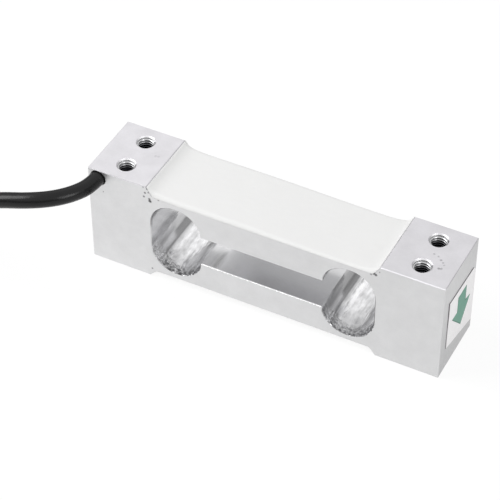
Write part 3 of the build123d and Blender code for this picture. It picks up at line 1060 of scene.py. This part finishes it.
def label_material():
    """White coated paper; the cut edge is dark, and dark lines run in along top and front."""
    material, tree, shader = plain_material("label_paper")
    x, y, z = axes_in_mm(tree)
    fibres = speckle(tree, place_in_mm(tree), size=0.5, detail=4.0)
    cut_edge = calculate(tree, "LESS_THAN", x, label_face - cut_edge_depth)
    at_front = fade(tree, y, *front_dark_places)
    from_front = product(tree, at_front, fade(tree, z, 17.0, 25.0, low=0.4, high=1.0))
    up_to_top = calculate(tree, "MULTIPLY_ADD", y, top_edge_lean, z)
    from_top = fade(tree, up_to_top, *top_dark_heights, high=0.85)
    dark_lines = calculate(tree, "MAXIMUM", from_front, from_top)
    darkened = calculate(tree, "MAXIMUM", cut_edge, dark_lines)
    paper = blend_colours(tree, fibres, (0.9, 0.885, 0.895), (0.96, 0.95, 0.955))
    tree.links.new(blend_colours(tree, darkened, paper, label_edge_dark), shader.inputs["Base Color"])
    tree.links.new(sway(tree, 0.5, fibres, 0.2), shader.inputs["Roughness"])
    bump(tree, shader, fibres, depth=0.01)
    return material


dress(cad_nodes["load_label"], label_material())
arrow_mesh = bmesh.new()
arrow_corners = [
    arrow_mesh.verts.new(((label_face + ink_gap) * mm, y * mm, z * mm)) for y, z in arrow_outline
]
arrow_face = arrow_mesh.faces.new(arrow_corners)
arrow_lift = bmesh.ops.extrude_face_region(arrow_mesh, geom=[arrow_face])
bmesh.ops.translate(
    arrow_mesh,
    vec=(ink_thickness * mm, 0, 0),
    verts=[part for part in arrow_lift["geom"] if isinstance(part, bmesh.types.BMVert)],
)
ink_faces = [part for part in arrow_lift["geom"] if isinstance(part, bmesh.types.BMFace)]
ink_rim = bmesh.ops.inset_individual(arrow_mesh, faces=ink_faces, thickness=ink_rim_width * mm)
for face in ink_rim["faces"]:
    face.material_index = 1
load_arrow = put_in_scene("load_arrow", arrow_mesh)
load_arrow.data.shade_flat()
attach(load_arrow, "root")

# The ink lies thicker round the arrow's rim, which is the second of its two materials
for name, colour in (("green_ink", (0.12, 0.32, 0.235)), ("thick_ink", (0.055, 0.2, 0.14))):
    ink = skin_material(name, colour, gloss=0.5, variation=0.15, gloss_change=0.15, depth=0.005)
    load_arrow.data.materials.append(ink)


# Table: white, so that the metal has white to reflect, and it keeps a soft shadow.
# Far behind the cell the metal sees it grey, as under a dark card.
table_size = 6.0
table_drop = 0.05
table_paint = (0.9, 0.9, 0.9, 1.0)
table_glow = 1.04
card_dimming = 0.74
card_start = 25.0
card_full = 110.0
camera_share = 0.85
near_mirrored, far_mirrored = 0.6, 0.95
table_mesh = bmesh.new()
bmesh.ops.create_grid(table_mesh, x_segments=1, y_segments=1, size=table_size / 2)
bmesh.ops.translate(table_mesh, vec=(0, 0, -table_drop * mm), verts=table_mesh.verts[:])
table = put_in_scene("table", table_mesh)


def table_material():
    """Matt white paint, mixed with a glow that the camera and the metal see in its place."""
    material, tree, shader = plain_material("table_white")
    shader.inputs["Base Color"].default_value = table_paint
    shader.inputs["Roughness"].default_value = 0.9
    shader.inputs["Specular IOR Level"].default_value = 0.0
    rays = tree.nodes.new("ShaderNodeLightPath").outputs
    _, y, _ = axes_in_mm(tree)
    behind = fade(tree, y, card_start, card_full)
    dimmed = product(tree, rays["Is Glossy Ray"], behind)
    glow = tree.nodes.new("ShaderNodeEmission")
    glow_strength = calculate(tree, "MULTIPLY_ADD", dimmed, -card_dimming, table_glow)
    tree.links.new(glow_strength, glow.inputs["Strength"])
    mirrored_glow = fade(tree, behind, 0.0, 1.0, low=near_mirrored, high=far_mirrored)
    mirrored = product(tree, rays["Is Glossy Ray"], mirrored_glow)
    glow_share = calculate(tree, "MULTIPLY_ADD", rays["Is Camera Ray"], camera_share, mirrored)
    mix = tree.nodes.new("ShaderNodeMixShader")
    tree.links.new(glow_share, mix.inputs["Fac"])
    tree.links.new(shader.outputs["BSDF"], mix.inputs[1])
    tree.links.new(glow.outputs["Emission"], mix.inputs[2])
    tree.links.new(mix.outputs["Shader"], tree.nodes["Material Output"].inputs["Surface"])
    return material


dress(table, table_material())


# Sky: white where the camera looks past the table, and a soft even light on everything else.
# Low down, the metal sees it dim, so that the walls that face the horizon come out grey.
soft_light = 0.5
low_sky = 0.36
low_sky_top = 0.34
full_sky_start = 0.52
world = bpy.data.worlds.new("studio")
world.use_nodes = True
bpy.context.scene.world = world
sky_tree = world.node_tree
sky = sky_tree.nodes["Background"]
sky.inputs["Color"].default_value = (1, 1, 1, 1)
sky_rays = sky_tree.nodes.new("ShaderNodeLightPath").outputs
sky_place = sky_tree.nodes.new("ShaderNodeTexCoord")
sky_split = sky_tree.nodes.new("ShaderNodeSeparateXYZ")
sky_tree.links.new(sky_place.outputs["Generated"], sky_split.inputs["Vector"])
seen_in_metal = fade(
    sky_tree, sky_split.outputs["Z"], low_sky_top, full_sky_start, low=low_sky, high=1.0
)
mirrored = sky_rays["Is Glossy Ray"]
elsewhere = calculate(sky_tree, "SUBTRACT", 1.0, mirrored)
sky_light = calculate(
    sky_tree,
    "ADD",
    product(sky_tree, mirrored, seen_in_metal),
    product(sky_tree, elsewhere, soft_light),
)
seen_straight = calculate(
    sky_tree, "MAXIMUM", sky_rays["Is Camera Ray"], sky_rays["Is Transmission Ray"]
)
sky_strength = calculate(sky_tree, "MAXIMUM", seen_straight, sky_light)
sky_tree.links.new(sky_strength, sky.inputs["Strength"])


# Lamps: two soft panels, the larger above on the left and a weak one to the front right.
# They light the white sealant to just under white.
for name, place, size, power in (
    ("key_panel", (-0.75, -0.25, 0.8), 0.7, 7.0),
    ("side_panel", (0.9, -0.35, 0.5), 0.5, 3.0),
):
    panel = bpy.data.lights.new(name, "AREA")
    panel.size = size
    panel.energy = power
    lamp = bpy.data.objects.new(name, panel)
    bpy.context.scene.collection.objects.link(lamp)
    lamp.location = place
    lamp.rotation_euler = (-Vector(place)).to_track_quat("-Z", "Y").to_euler()

bpy.context.scene.view_settings.view_transform = "Standard"
